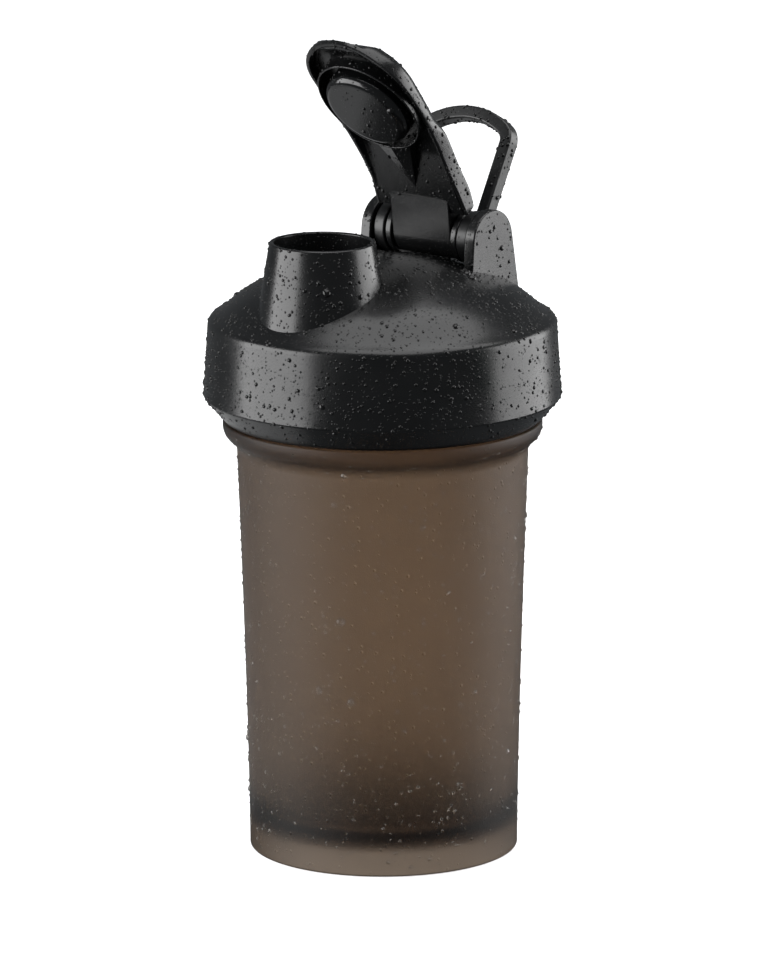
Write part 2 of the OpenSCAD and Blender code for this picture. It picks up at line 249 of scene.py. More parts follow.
def smooth(obj, angle=32):
    """Smooth shading with creases kept sharp."""
    bm = bmesh.new()
    bm.from_mesh(obj.data)
    bmesh.ops.dissolve_degenerate(bm, edges=bm.edges, dist=0.001 * MM)
    for face in bm.faces:
        face.smooth = True
    for edge in bm.edges:
        edge.smooth = len(edge.link_faces) == 2 and edge.calc_face_angle(0) < math.radians(angle)
    bm.to_mesh(obj.data)
    bm.free()
    weighted = obj.modifiers.new("weighted", "WEIGHTED_NORMAL")
    weighted.keep_sharp = True
    return obj


def install(obj, node, body, material):
    """The finished piece stands for its CAD node."""
    smooth(obj)
    obj.data.materials.clear()
    obj.data.materials.append(material)
    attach(obj, body)
    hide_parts(node)
    return obj


# ---------------------------------------------------------------- materials

def shader(name):
    """A new material, its node tree and its Principled shader."""
    material = bpy.data.materials.new(name)
    material.use_nodes = True
    return material, material.node_tree, material.node_tree.nodes["Principled BSDF"]


def add_noise(tree, scale, detail=3.0, rough=0.5):
    coords = tree.nodes.new("ShaderNodeTexCoord")
    noise = tree.nodes.new("ShaderNodeTexNoise")
    noise.inputs["Scale"].default_value = scale
    noise.inputs["Detail"].default_value = detail
    noise.inputs["Roughness"].default_value = rough
    tree.links.new(coords.outputs["Object"], noise.inputs["Vector"])
    return noise


def ramp(tree, source, stops):
    node = tree.nodes.new("ShaderNodeValToRGB")
    elements = node.color_ramp.elements
    while len(elements) < len(stops):
        elements.new(0.5)
    for element, (at, colour) in zip(elements, stops):
        element.position = at
        element.color = (*colour, 1) if len(colour) == 3 else colour
    tree.links.new(source, node.inputs["Fac"])
    return node


def grey(value):
    return (value, value, value)


def mist(tree, scale, share):
    """Height of very fine water beads: round bumps of differing size on a random lattice."""
    coords = tree.nodes.new("ShaderNodeTexCoord")
    cells = tree.nodes.new("ShaderNodeTexVoronoi")
    cells.inputs["Scale"].default_value = scale
    tree.links.new(coords.outputs["Object"], cells.inputs["Vector"])
    split = tree.nodes.new("ShaderNodeSeparateColor")
    tree.links.new(cells.outputs["Color"], split.inputs["Color"])
    size = tree.nodes.new("ShaderNodeMapRange")
    size.inputs["From Min"].default_value = 1 - share
    size.inputs["To Min"].default_value = 0.0
    size.inputs["To Max"].default_value = 0.42
    tree.links.new(split.outputs["Red"], size.inputs["Value"])
    dome = tree.nodes.new("ShaderNodeMath")
    dome.operation = "SUBTRACT"
    dome.use_clamp = True
    tree.links.new(size.outputs["Result"], dome.inputs[0])
    tree.links.new(cells.outputs["Distance"], dome.inputs[1])
    curve = tree.nodes.new("ShaderNodeMath")
    curve.operation = "POWER"
    curve.inputs[1].default_value = 0.6
    tree.links.new(dome.outputs[0], curve.inputs[0])
    return curve


def bump(tree, bsdf, layers):
    """Stacks (height socket, distance in metres) layers into the shader's normal."""
    last = None
    for height, distance in layers:
        node = tree.nodes.new("ShaderNodeBump")
        node.inputs["Distance"].default_value = distance
        tree.links.new(height, node.inputs["Height"])
        if last is not None:
            tree.links.new(last.outputs["Normal"], node.inputs["Normal"])
        last = node
    tree.links.new(last.outputs["Normal"], bsdf.inputs["Normal"])


def black_plastic(name, low, high, grain):
    """Near-black moulded plastic: fine grain, a little unevenness in gloss, and a mist of water."""
    material, tree, bsdf = shader(name)
    broad = add_noise(tree, 60, 4)
    shades = [(0.3, (0.0042, 0.0044, 0.0046)), (0.7, (0.0070, 0.0073, 0.0076))]
    tint = ramp(tree, broad.outputs["Fac"], shades)
    tree.links.new(tint.outputs["Color"], bsdf.inputs["Base Color"])
    gloss = ramp(tree, broad.outputs["Fac"], [(0.25, grey(low)), (0.75, grey(high))])
    tree.links.new(gloss.outputs["Color"], bsdf.inputs["Roughness"])
    fine = add_noise(tree, 2600, 2)
    bump(tree, bsdf, [(fine.outputs["Fac"], grain), (mist(tree, 1500, 0.35).outputs[0], 0.00022)])
    return material


def frosted_plastic():
    """Smoke-brown translucent plastic with a frosted skin, a light mist of water, and painted shade towards
    the jar's floor.
    """
    material, tree, bsdf = shader("frosted_jar")
    cloud = add_noise(tree, 14, 3)
    tint = ramp(tree, cloud.outputs["Fac"], [(0.3, (0.38, 0.32, 0.262)), (0.7, (0.42, 0.355, 0.292))])
    split = tree.nodes.new("ShaderNodeSeparateXYZ")
    tree.links.new(cloud.inputs["Vector"].links[0].from_socket, split.inputs[0])
    low = tree.nodes.new("ShaderNodeMapRange")        # painted shade: the base colour is darker towards the floor of the jar
    for key, value in (("From Min", 0.006), ("From Max", 0.034), ("To Min", 0.72), ("To Max", 1.0)):
        low.inputs[key].default_value = value
    low.interpolation_type = "SMOOTHSTEP"
    tree.links.new(split.outputs["Z"], low.inputs["Value"])
    # painted shade: scales the tint by the height factor above
    shade = tree.nodes.new("ShaderNodeVectorMath")
    shade.operation = "SCALE"
    tree.links.new(tint.outputs["Color"], shade.inputs[0])
    tree.links.new(low.outputs["Result"], shade.inputs["Scale"])
    tree.links.new(shade.outputs["Vector"], bsdf.inputs["Base Color"])
    bsdf.inputs["Transmission Weight"].default_value = 1.0
    bsdf.inputs["IOR"].default_value = 1.38
    gloss = ramp(tree, cloud.outputs["Fac"], [(0.2, grey(0.50)), (0.8, grey(0.57))])
    tree.links.new(gloss.outputs["Color"], bsdf.inputs["Roughness"])
    fine = add_noise(tree, 3000, 2)
    bump(tree, bsdf, [(fine.outputs["Fac"], 0.00002), (mist(tree, 900, 0.2).outputs[0], 0.0002)])
    smoke = tree.nodes.new("ShaderNodeVolumeAbsorption")
    smoke.inputs["Color"].default_value = (0.46, 0.36, 0.27, 1)
    smoke.inputs["Density"].default_value = 330
    tree.links.new(smoke.outputs["Volume"], tree.nodes["Material Output"].inputs["Volume"])
    return material


def rubber():
    """Soft dark sealing rubber with a faint moulded grain."""
    material, tree, bsdf = shader("seal_rubber")
    fine = add_noise(tree, 1800, 3)
    tint = ramp(tree, fine.outputs["Fac"], [(0.35, grey(0.018)), (0.65, grey(0.028))])
    tree.links.new(tint.outputs["Color"], bsdf.inputs["Base Color"])
    gloss = ramp(tree, fine.outputs["Fac"], [(0.3, grey(0.50)), (0.7, grey(0.62))])
    tree.links.new(gloss.outputs["Color"], bsdf.inputs["Roughness"])
    bump(tree, bsdf, [(fine.outputs["Fac"], 0.00004)])
    return material


def dark_water():
    """Water lying on black plastic: the black shows through it, under a sharp gloss."""
    material, tree, bsdf = shader("water_on_black")
    ripple = add_noise(tree, 900, 1)
    tint = ramp(tree, ripple.outputs["Fac"], [(0.3, grey(0.006)), (0.7, grey(0.010))])
    tree.links.new(tint.outputs["Color"], bsdf.inputs["Base Color"])
    bsdf.inputs["Roughness"].default_value = 0.04
    bsdf.inputs["IOR"].default_value = 1.4
    return material


def water():
    """Clear water of the beads, with a hardly visible ripple."""
    material, tree, bsdf = shader("water")
    bsdf.inputs["Base Color"].default_value = (0.95, 0.97, 0.98, 1)
    bsdf.inputs["Transmission Weight"].default_value = 1.0
    bsdf.inputs["Roughness"].default_value = 0.02
    bsdf.inputs["IOR"].default_value = 1.33
    ripple = add_noise(tree, 900, 1)
    bump(tree, bsdf, [(ripple.outputs["Fac"], 0.00001)])
    return material


# ---------------------------------------------------------------- jar

def jar_r(z):
    return FOOT_R + (TOP_R - FOOT_R) * (max(0.0, z) / FLARE_Z) ** TAPER_POWER


def make_jar(material):
    heights = [FLARE_Z * k / 28 for k in range(1, 28)]
    inner_foot = jar_r(FLOOR_Z) - JAR_WALL - FLOOR_FILLET
    inside = [(0, FLOOR_Z)] + arc(inner_foot, FLOOR_Z + FLOOR_FILLET, FLOOR_FILLET, -90, 0, 10)
    inside += [(jar_r(z) - JAR_WALL, z) for z in heights if z > FLOOR_Z + FLOOR_FILLET]
    over_rim = soften([(NECK_BORE_R, FLARE_Z), (NECK_BORE_R, RIM_Z, 0.8), (NECK_R, RIM_Z, 0.8),
                       (NECK_R, COLLAR_Z, 0.5), (COLLAR_R, COLLAR_Z, 0.8), (COLLAR_R, COLLAR_Z - 1.4)])
    collar_arc_z = FLARE_Z + 2 * FLARE_R * math.sin(math.radians(FLARE_ARC))
    flare = arc(COLLAR_R - FLARE_R, collar_arc_z, FLARE_R, 0, -FLARE_ARC, 8)
    flare += arc(TOP_R + FLARE_R, FLARE_Z, FLARE_R, 180 - FLARE_ARC, 180, 8)
    outside = flare + [(jar_r(z), z) for z in reversed(heights)]
    foot = soften([(jar_r(2), 2), (FOOT_R, 0, 0.8), (FOOT_R - JAR_WALL, 0, 0.5),
                   (FOOT_R - JAR_WALL, FLOOR_Z - FLOOR_T, 3), (0, FLOOR_Z - FLOOR_T)])
    body = solid("jar_shell", lathe(inside + over_rim + outside + foot))
    thread = solid("neck_thread", ridge(NECK_R, RIDGE_Z, RIDGE_H))
    return install(combine(body, [("UNION", thread)]), "jar", "jar", material)


# ---------------------------------------------------------------- lid

def lid_top():
    """Outline from the grip over the shoulder, a hollow curve, a straight flank and the brow to the top."""
    turn = math.radians(LEDGE_A)
    shoulder_x = GRIP_TOP_R - SHOULDER_R
    to_ledge = (SHOULDER_R + LEDGE_R) * Vector((math.sin(turn), math.cos(turn)))
    ledge = Vector((shoulder_x, GRIP_TOP_Z)) + to_ledge
    turn = math.radians(BROW_A)
    brow = Vector((0, DOME_CZ)) + (DOME_R - BROW_R) * Vector((math.sin(turn), math.cos(turn)))
    between = ledge - brow
    flank = math.degrees(math.atan2(between.x, between.y) - math.acos((BROW_R + LEDGE_R) / between.length))
    outline = arc(shoulder_x, GRIP_TOP_Z, SHOULDER_R, 4, 90 - LEDGE_A, 7)
    outline += arc(*ledge, LEDGE_R, 270 - LEDGE_A, 270 - flank, 4)[1:]
    outline += arc(*brow, BROW_R, 90 - flank, 90 - BROW_A, 7)
    return outline + arc(0, DOME_CZ, DOME_R, 90 - BROW_A, 89.9, 16)[1:]


def lid_body():
    """The lid without its inside: bevelled lower edge, grip and top."""
    skirt = soften([(0, LID_Z), (LID_EDGE_R, LID_Z, 0.3), (GRIP_R, GRIP_Z, 0.9), (GRIP_TOP_R, GRIP_TOP_Z)])
    return lathe(skirt + lid_top() + [(0, DOME_TOP)])


def lid_cavity():
    """What is hollow in the lid: threaded bore, gasket seat, the mouth wall's inside, and the dome."""
    inner = DOME_R - LID_T
    wall_in = PLUG_WALL_R - PLUG_WALL_T
    start = math.degrees(math.acos(wall_in / inner))
    bore = soften([(0, LID_Z - 2), (LID_BORE_R, LID_Z - 2), (LID_BORE_R, CEILING_Z, 0.4),
                   (PLUG_WALL_R, CEILING_Z, 0.3), (PLUG_WALL_R, PLUG_WALL_Z, 0.6),
                   (wall_in, PLUG_WALL_Z, 0.6),
                   (wall_in, DOME_CZ + inner * math.sin(math.radians(start)) - 1)])
    dome = arc(0, DOME_CZ, inner, start, 89.9, 16)
    return lathe(bore + dome + [(0, DOME_CZ + inner)])


def cone_radius(top_r, top, foot_z):
    """Radius at foot_z of the spout's cone that has top_r at the height top."""
    return top_r + SPOUT_FLARE * (top - foot_z)


def bridge():
    """Low bridge between the ears, just clear of everything that turns above it."""
    front, back, top = HINGE.y - 3, HINGE.y + 8, HINGE.z - EYE_R - 0.4
    outline = soften([(front, top - 6), (back, top - 6), (back, top, 1.2), (front, top)], closed=True)
    return slab(outline, -EAR_X0 - 1, EAR_X0 + 1, 0.2)


def make_lid(material):
    foot_z, bore_z, straight = 151.0, 152.0, 9.0
    at_spout = Matrix.Translation((0, -SPOUT_Y, 0))
    outer = soften([(0, foot_z), (cone_radius(SPOUT_R, SPOUT_Z, foot_z), foot_z), (SPOUT_R, SPOUT_Z, 0.55),
                    (SPOUT_BORE_R - 1, SPOUT_Z), (0, SPOUT_Z)])
    knee_z = SPOUT_Z - straight
    bore = soften([(0, bore_z), (cone_radius(SPOUT_BORE_R, knee_z, bore_z), bore_z, 1.0),
                   (SPOUT_BORE_R, knee_z), (SPOUT_BORE_R, SPOUT_Z - 0.5)])
    bore += arc(SPOUT_BORE_R + 0.5, SPOUT_Z - 0.5, 0.5, 180, 90, 4)
    bore += [(SPOUT_BORE_R + 0.5, SPOUT_Z + 1), (0, SPOUT_Z + 1)]
    front, back = 5, 11
    lean_front, lean_back = math.radians(front), math.radians(back)
    outline = soften([(-EAR_R * math.cos(lean_front) - EAR_FOOT * math.sin(lean_front), -EAR_FOOT),
                      (EAR_R * math.cos(lean_back) + EAR_FOOT * math.tan(lean_back), -EAR_FOOT)])
    outline += arc(0, 0, EAR_R, back, 180 - front, 26)
    ear = slab(outline, EAR_X0, EAR_X1, 0.45)
    socket_r = PIVOT_R + RUNNING
    socket = lathe([(0, EAR_X0 - 1), (socket_r, EAR_X0 - 1), (socket_r, SOCKET_END), (0, SOCKET_END)], 48)
    steps = [("UNION", solid("spout", lathe(outer), at_spout))]
    for side in (Matrix.Identity(4), MIRROR_X):
        steps.append(("UNION", solid("ear", ear, side @ AT_HINGE @ ALONG_X)))
    steps.append(("UNION", solid("bridge", bridge(), ALONG_X)))
    steps.append(("DIFFERENCE", solid("cavity", lid_cavity())))
    steps.append(("DIFFERENCE", solid("bore", lathe(bore, 128), at_spout)))
    for side in (Matrix.Identity(4), MIRROR_X):
        steps.append(("DIFFERENCE", solid("socket", socket, side @ AT_HINGE @ ALONG_X)))
    steps.append(("UNION", solid("lid_thread", ridge(LID_BORE_R, RIDGE_Z - PITCH / 2, -RIDGE_H))))
    lid = combine(solid("lid_shell", lid_body()), steps)
    return install(lid, "lid", "lid", material)


# ---------------------------------------------------------------- flip cap

def cap_half_width(d):
    """Half width of the cap's arm at a distance from the hinge; it runs smoothly into the head."""
    head = (HEAD_R - ARM_W) * smoothstep((d - 20) / (REACH - 20))
    root = 0.7 * (1 - smoothstep((d - ARM_ROOT_D) / 9))
    return ARM_W + head + root


def head_radius(angle):
    """Distance from the head's centre to its edge, at an angle in degrees from the direction of the tab."""
    shift = TAB_D - REACH
    tangent = math.degrees(math.acos((HEAD_R - TAB_R) / shift))
    a = abs(angle)
    if a >= tangent:
        return HEAD_R
    on_tab = (shift + TAB_R * math.cos(math.radians(tangent)), TAB_R * math.sin(math.radians(tangent)))
    if a > math.degrees(math.atan2(on_tab[1], on_tab[0])):
        return HEAD_R / math.cos(math.radians(a - tangent))
    s, c = math.sin(math.radians(a)), math.cos(math.radians(a))
    return shift * c + math.sqrt(TAB_R ** 2 - (shift * s) ** 2)


def deck_height(d):
    """Top of the cap along its length: low at the root, level over the head, turned down at the tab."""
    root = 3.2 + 0.414 * (d - 7.7)
    level = 6.3 + (CROWN_H - 6.3) * smoothstep((d - 12) / 24)
    brow = 7.5
    past = min(max(0.0, d - 63.5), brow - 0.6)
    tab = CROWN_H - brow + math.sqrt(brow ** 2 - past ** 2)
    blend = 0.35
    return -blend * math.log(sum(math.exp(-h / blend) for h in (root, level, tab)))


def rim_height(d):
    """Lower edge of the cap's side walls along its length."""
    along = [9.7, 17, 25, 34, 50, 60, 67, 72.5]
    heights = [-0.3, 1.4, 2.2, 2.8, 2.5, 1.9, 1.65, 2.2]
    return float(np.interp(d, along, heights))


def cap_section(width, place):
    """Half a cross-section, from the middle of the deck over the edge and back under it to the middle.

    place(e) gives the (x, d) point at a distance e in from the edge."""
    points = []
    edge_d = place(0)[1]
    low = rim_height(edge_d)
    round_r = min(1.2 + 3.0 * smoothstep((edge_d - 33) / 10), deck_height(edge_d) - low - 1.0)
    distances = [0, 0.1, 0.3, 0.6, 1.0, 1.6, 2.4, 3.4, 4.6, 6.0]
    distances += [6 + (width - 6) * k / 4 for k in (1, 2, 3, 4)]
    for e in reversed(distances):
        x, d = place(e)
        drop = round_r - math.sqrt(round_r ** 2 - (round_r - e) ** 2) if e < round_r else 0.0
        points.append((x, -d, deck_height(d) - drop))
    for e, up in ((0, 0.4), (0.12, 0.12), (0.4, 0), (RIM_T - 0.35, 0), (RIM_T - 0.1, 0.1), (RIM_T, 0.35)):
        x, d = place(e)
        points.append((x, -d, rim_height(d) + up))
    for e, under in ((RIM_T + 0.05, 0.75), (RIM_T + 0.25, 0.25), (RIM_T + 0.8, 0)) + tuple(
            (RIM_T + 0.8 + (width - RIM_T - 0.8) * k / 5, 0) for k in (1, 2, 3, 4, 5)):
        x, d = place(e)
        sloped = HOLLOW_ROOT_H + HOLLOW_SLOPE * (d - ARM_ROOT_D)
        ceiling = min(deck_height(d) - PLATE_T, sloped) - under
        points.append((x, -d, max(ceiling, rim_height(d))))
    return points


def cap_shell():
    """The crowned deck with its side walls and recess: an arm of straight slices and a head of rays."""
    rows = []
    slices = 34
    arm = [ARM_ROOT_D + (REACH - ARM_ROOT_D) * k / slices for k in range(slices + 1)]
    for d in arm:
        width = cap_half_width(d)
        rows.append(cap_section(width, lambda e, w=width, at=d: (w - e, at)))
    rays = 72
    for k in range(1, rays):
        angle = 90 - 180 * k / rays
        width = head_radius(angle)
        s, c = math.sin(math.radians(angle)), math.cos(math.radians(angle))
        rows.append(cap_section(width, lambda e, w=width, s=s, c=c: ((w - e) * s, REACH + (w - e) * c)))
    for d in reversed(arm):
        width = cap_half_width(d)
        rows.append(cap_section(width, lambda e, w=width, at=d: (e - w, at)))
    verts = [p for row in rows for p in row]
    size = len(rows[0])
    faces = []
    for i in range(len(rows) - 1):
        for k in range(size - 1):
            a, b = i * size + k, (i + 1) * size + k
            faces.append((a, a + 1, b + 1, b))
    return verts, faces


def barrel_profile():
    """Half of the hinge barrel about its axis: barrel, groove, end flange and pivot."""
    groove_r, groove_x = BARREL_R - 0.5, BARREL_X - 0.5
    return soften([(0, -0.01), (BARREL_R, -0.01), (BARREL_R, groove_x, 0.2), (groove_r, groove_x, 0.1),
                   (groove_r, BARREL_X, 0.1), (FLANGE_R, BARREL_X, 0.35), (FLANGE_R, FLANGE_X, 0.45),
                   (PIVOT_R, FLANGE_X, 0.2), (PIVOT_R, PIVOT_END, 0.4), (0, PIVOT_END)])


def gusset():
    """Wedge between the ring and the arm, with a low ridge along its middle."""
    foot, point = -(REACH - RING_R + 0.6), -16.5
    wide, low, high = 6.0, RING_H + 1.2, CROWN_H - 1.5
    verts = [(-wide, foot, low), (0, foot, RING_H), (wide, foot, low),
             (wide, foot, high), (-wide, foot, high), (0, point, 1.5), (0, point, 2.5)]
    return verts, [(0, 1, 5), (1, 2, 5), (2, 3, 6, 5), (3, 4, 6), (4, 0, 5, 6), (0, 4, 3, 2, 1)]


def make_cap(material):
    half = barrel_profile()
    whole = [(r, -x) for r, x in reversed(half[1:])] + half[1:]
    barrel = solid("barrel", lathe([p for p in whole if abs(p[1]) > 0.02], 96), CAP_FRAME @ ALONG_X)
    web = math.radians(ROOT_A)
    leaves = (-BARREL_R * math.sin(web), -BARREL_R * math.cos(web))
    root = slab([(-WEB_END, 0.9), leaves, (0, 0), (0, BARREL_R), (-WEB_END, 6.1)],
                -BARREL_X + 0.3, BARREL_X - 0.3, 0.3)
    ring_top = CROWN_H - PLATE_T + 0.8
    ring = lathe(soften([(RING_BORE, RING_H, 0.2), (RING_R, RING_H, 0.25), (RING_R, ring_top),
                         (RING_BORE, ring_top)], closed=True), 128, closed=True)
    shell = solid("flip_cap_shell", cap_shell(), CAP_FRAME)
    steps = [("UNION", solid("ring", ring, CAP_FRAME @ Matrix.Translation((0, -REACH, 0)))),
             ("UNION", solid("gusset", gusset(), CAP_FRAME)),
             ("UNION", solid("root", root, CAP_FRAME @ ALONG_X)),
             ("UNION", barrel)]
    return install(combine(shell, steps), "flip_cap", "flip_cap", material)


def make_plug(material):
    """Plug with a flat face and a broad round edge."""
    top = CROWN_H - PLATE_T - 0.1
    edge = arc(PLUG_R - PLUG_EDGE, PLUG_H + PLUG_EDGE, PLUG_EDGE, -90, 0, 10)
    profile = [(0, PLUG_H)] + edge + [(PLUG_R, top), (0, top)]
    plug = solid("spout_plug", lathe(profile, 128), CAP_FRAME @ Matrix.Translation((0, -REACH, 0)))
    return install(plug, "spout_seal", "flip_cap", material)


# ---------------------------------------------------------------- carry loop

def loop_line(shift):
    """One edge of the loop from the right leg over the arch to the left leg, shifted inwards."""
    arch_z = LOOP_TOP - LOOP_ARCH_R
    corner_x = LEG_X1 - LOOP_CORNER_R
    corner_z = arch_z + math.sqrt((LOOP_ARCH_R - LOOP_CORNER_R) ** 2 - corner_x ** 2)
    meet = math.degrees(math.atan2(corner_z - arch_z, corner_x))
    low = 5.0                             # the legs start inside the eyes
    points = [(LEG_X1 - shift, low + (corner_z - low) * k / 6) for k in range(6)]
    points += arc(corner_x, corner_z, LOOP_CORNER_R - shift, 0, meet, 9)
    points += arc(0, arch_z, LOOP_ARCH_R - shift, meet, 90, 8)[1:]
    return points + [(-x, z) for x, z in reversed(points[:-1])]


def make_loop(material):
    square = [(-0.5, -0.5), (0.5, -0.5), (0.5, 0.5), (-0.5, 0.5)]
    section = soften([(*corner, 0.17) for corner in square], closed=True, steps=4)
    rings = []
    for (ox, oz), (ix, iz) in zip(loop_line(0), loop_line(LEG_X1 - LEG_X0)):
        outer, inner = Vector((ox, 0, oz)), Vector((ix, 0, iz))
        middle = (outer + inner) / 2
        rings.append([tuple(middle + (outer - inner) * u + Vector((0, LOOP_T * v, 0))) for u, v in section])
    loop = solid("carry_loop_bar", stacked(rings), LOOP_FRAME)
    eye_bore = PIVOT_R + RUNNING
    eye = lathe(soften([(eye_bore, EYE_X0, 0.2), (EYE_R, EYE_X0, 0.5), (EYE_R, EYE_X1, 0.5),
                        (eye_bore, EYE_X1, 0.2)], closed=True), 72, closed=True)
    steps = [("UNION", solid("eye", eye, side @ LOOP_FRAME @ ALONG_X))
             for side in (Matrix.Identity(4), MIRROR_X)]
    return install(combine(loop, steps), "carry_loop", "carry_loop", material)


# ---------------------------------------------------------------- water beads

def bead_shape(sides, rings, contact=74):
    """A sessile bead of base radius 1: a spherical cap on a short skirt that dips under the surface."""
    theta = math.radians(contact)
    verts, faces = [], []
    levels = [(1.0, -0.12)] + [(math.sin(theta * (1 - k / rings)) / math.sin(theta),
                                (math.cos(theta * (1 - k / rings)) - math.cos(theta)) / math.sin(theta))
                               for k in range(rings)]
    for r, h in levels:
        verts += [(r * math.cos(2 * math.pi * k / sides), r * math.sin(2 * math.pi * k / sides), h)
                  for k in range(sides)]
    verts.append((0, 0, (1 - math.cos(theta)) / math.sin(theta)))
    for i in range(len(levels) - 1):
        for k in range(sides):
            j = (k + 1) % sides
            faces.append((i * sides + k, i * sides + j, (i + 1) * sides + j, (i + 1) * sides + k))
    last = (len(levels) - 1) * sides
    faces += [(last + k, last + (k + 1) % sides, len(verts) - 1) for k in range(sides)]
    faces.append(tuple(reversed(range(sides))))
    return np.array(verts), faces


SMALL_BEAD, LARGE_BEAD = bead_shape(8, 2), bead_shape(16, 5)
DETAILED = 0.5 * MM                       # beads with a larger radius get the detailed shape
HEAVY = 0.7 * MM                          # and these sag on a steep face


def bead_sites(host, count, rng, accept, radii):
    """Random places on the host's accepted faces: (centre, normal, radius) rows, none overlapping another."""
    mesh = host.data
    mesh.calc_loop_triangles()
    corners = np.zeros(len(mesh.loop_triangles) * 3, np.int32)
    mesh.loop_triangles.foreach_get("vertices", corners)
    co = np.zeros(len(mesh.vertices) * 3)
    mesh.vertices.foreach_get("co", co)
    tri = co.reshape(-1, 3)[corners.reshape(-1, 3)]
    cross = np.cross(tri[:, 1] - tri[:, 0], tri[:, 2] - tri[:, 0])
    area = np.linalg.norm(cross, axis=1) / 2
    normal = cross / np.maximum(area, 1e-15)[:, None] / 2
    weight = area * accept(tri.mean(1) / MM, normal)
    picked = rng.choice(len(tri), size=count, p=weight / weight.sum())
    u, v = rng.random(count), rng.random(count)
    flip = u + v > 1
    u[flip], v[flip] = 1 - u[flip], 1 - v[flip]
    t = tri[picked]
    centre = t[:, 0] + u[:, None] * (t[:, 1] - t[:, 0]) + v[:, None] * (t[:, 2] - t[:, 0])
    small, large, share = radii
    radius = (small[0] + (small[1] - small[0]) * rng.random(count) ** 2.6)
    big = rng.random(count) < share
    radius[big] = large[0] + (large[1] - large[0]) * rng.random(big.sum()) ** 1.8
    radius *= MM
    order = np.argsort(-radius)
    cell, kept, taken = 2.6 * MM, [], {}
    for i in order:
        key = tuple((centre[i] // cell).astype(int))
        near = [j for dx in (-1, 0, 1) for dy in (-1, 0, 1) for dz in (-1, 0, 1)
                for j in taken.get((key[0] + dx, key[1] + dy, key[2] + dz), ())]
        if all(np.linalg.norm(centre[i] - centre[j]) > radius[i] + radius[j] for j in near):
            taken.setdefault(key, []).append(i)
            kept.append(i)
    return centre[kept], normal[picked][kept], radius[kept]


def add_beads(name, host, body, count, radii, seed, accept, material):
    """One piece of many water beads lying on the host."""
    rng = np.random.default_rng(seed)
    centres, normals, sizes = bead_sites(host, count, rng, accept, radii)
    verts, faces, start = [], [], 0
    for centre, normal, size in zip(centres, normals, sizes):
        shape, shape_faces = LARGE_BEAD if size > DETAILED else SMALL_BEAD
        side = np.cross(normal, (0.3, 0.5, 0.81))
        side /= np.linalg.norm(side)
        other = np.cross(normal, side)
        turn = rng.random() * 2 * math.pi
        a = math.cos(turn) * side + math.sin(turn) * other
        b = math.cos(turn) * other - math.sin(turn) * side
        stretch = 1 + 0.16 * rng.random()
        flat = 0.72 + 0.2 * rng.random()
        angle = np.arctan2(shape[:, 1], shape[:, 0])
        waves = 0.07 * np.sin(2 * angle + turn) + 0.05 * np.sin(3 * angle + 2 * turn)
        wobble = 1 + waves * (size > DETAILED)
        placed = centre + size * ((shape[:, 0] * stretch * wobble)[:, None] * a
                                  + (shape[:, 1] * wobble)[:, None] * b
                                  + (shape[:, 2] * flat)[:, None] * normal)
        if size > HEAVY:
            fall = np.array((0, 0, -1.0)) + normal[2] * normal
            placed = placed + np.outer(np.maximum(shape[:, 2], 0), fall) * size * 0.35
        verts.append(placed)
        faces += [tuple(start + k for k in face) for face in shape_faces]
        start += len(shape)
    mesh = bpy.data.meshes.new(name)
    mesh.from_pydata(np.concatenate(verts), [], faces)
    for polygon in mesh.polygons:
        polygon.use_smooth = True
    mesh.materials.append(material)
    obj = bpy.data.objects.new(name, mesh)
    bpy.context.scene.collection.objects.link(obj)
    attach(obj, body)
    return obj


def on_jar(centre, normal):
    """The jar's outer wall between foot and collar."""
    outward = (centre[:, :2] * normal[:, :2]).sum(1) / np.maximum(np.hypot(centre[:, 0], centre[:, 1]), 1)
    return (outward > 0.5) & (centre[:, 2] > 2) & (centre[:, 2] < 119)


def on_lid(centre, normal):
    """The lid's grip, dome, ears and the outside of its spout."""
    r = np.hypot(centre[:, 0], centre[:, 1])
    outward = (centre[:, :2] * normal[:, :2]).sum(1) / np.maximum(r, 1)
    wall = (r > 46) & (outward > 0.5)
    top = sorted(lid_top())
    shell_z = np.interp(r, [p[0] for p in top], [p[1] for p in top])
    dome = (centre[:, 2] > shell_z - 0.8) & (normal[:, 2] > 0.3)
    from_spout = centre[:, :2] - np.array((0, -SPOUT_Y))
    spout_r = np.linalg.norm(from_spout, axis=1)
    spout = (spout_r > SPOUT_R - 0.3) & (centre[:, 2] > shell_z) & ((from_spout * normal[:, :2]).sum(1) > 5)
    inside_spout = (spout_r < SPOUT_BORE_R) & (centre[:, 2] < SPOUT_Z)
    ears = (centre[:, 1] > 10) & (centre[:, 2] > shell_z + 0.5) & (np.abs(centre[:, 0]) > EAR_X0)
    hidden = ears & (np.abs(centre[:, 0]) < EAR_X0 + 0.1)
    return (wall | dome | spout | ears) & ~hidden & ~inside_spout


def cap_local(centre):
    """Places of points in the cap's own frame, in millimetres."""
    back = np.array(CAP_FRAME.inverted())
    return centre @ back[:3, :3].T + back[:3, 3]


def on_cap(centre, normal):
    """Every face of the cap clear of the hinge."""
    local = cap_local(centre)
    return (-local[:, 1] > 11) & (normal[:, 0] < 2)


def everywhere(centre, normal):
    """Every face of the host."""
    return np.ones(len(centre), bool)


def on_loop(centre, normal):
    """The loop's bar clear of its eyes."""
    return np.linalg.norm(centre[:, 1:] - np.array((HINGE.y, HINGE.z)), axis=1) > 10.5


# ---------------------------------------------------------------- stage, lights and camera

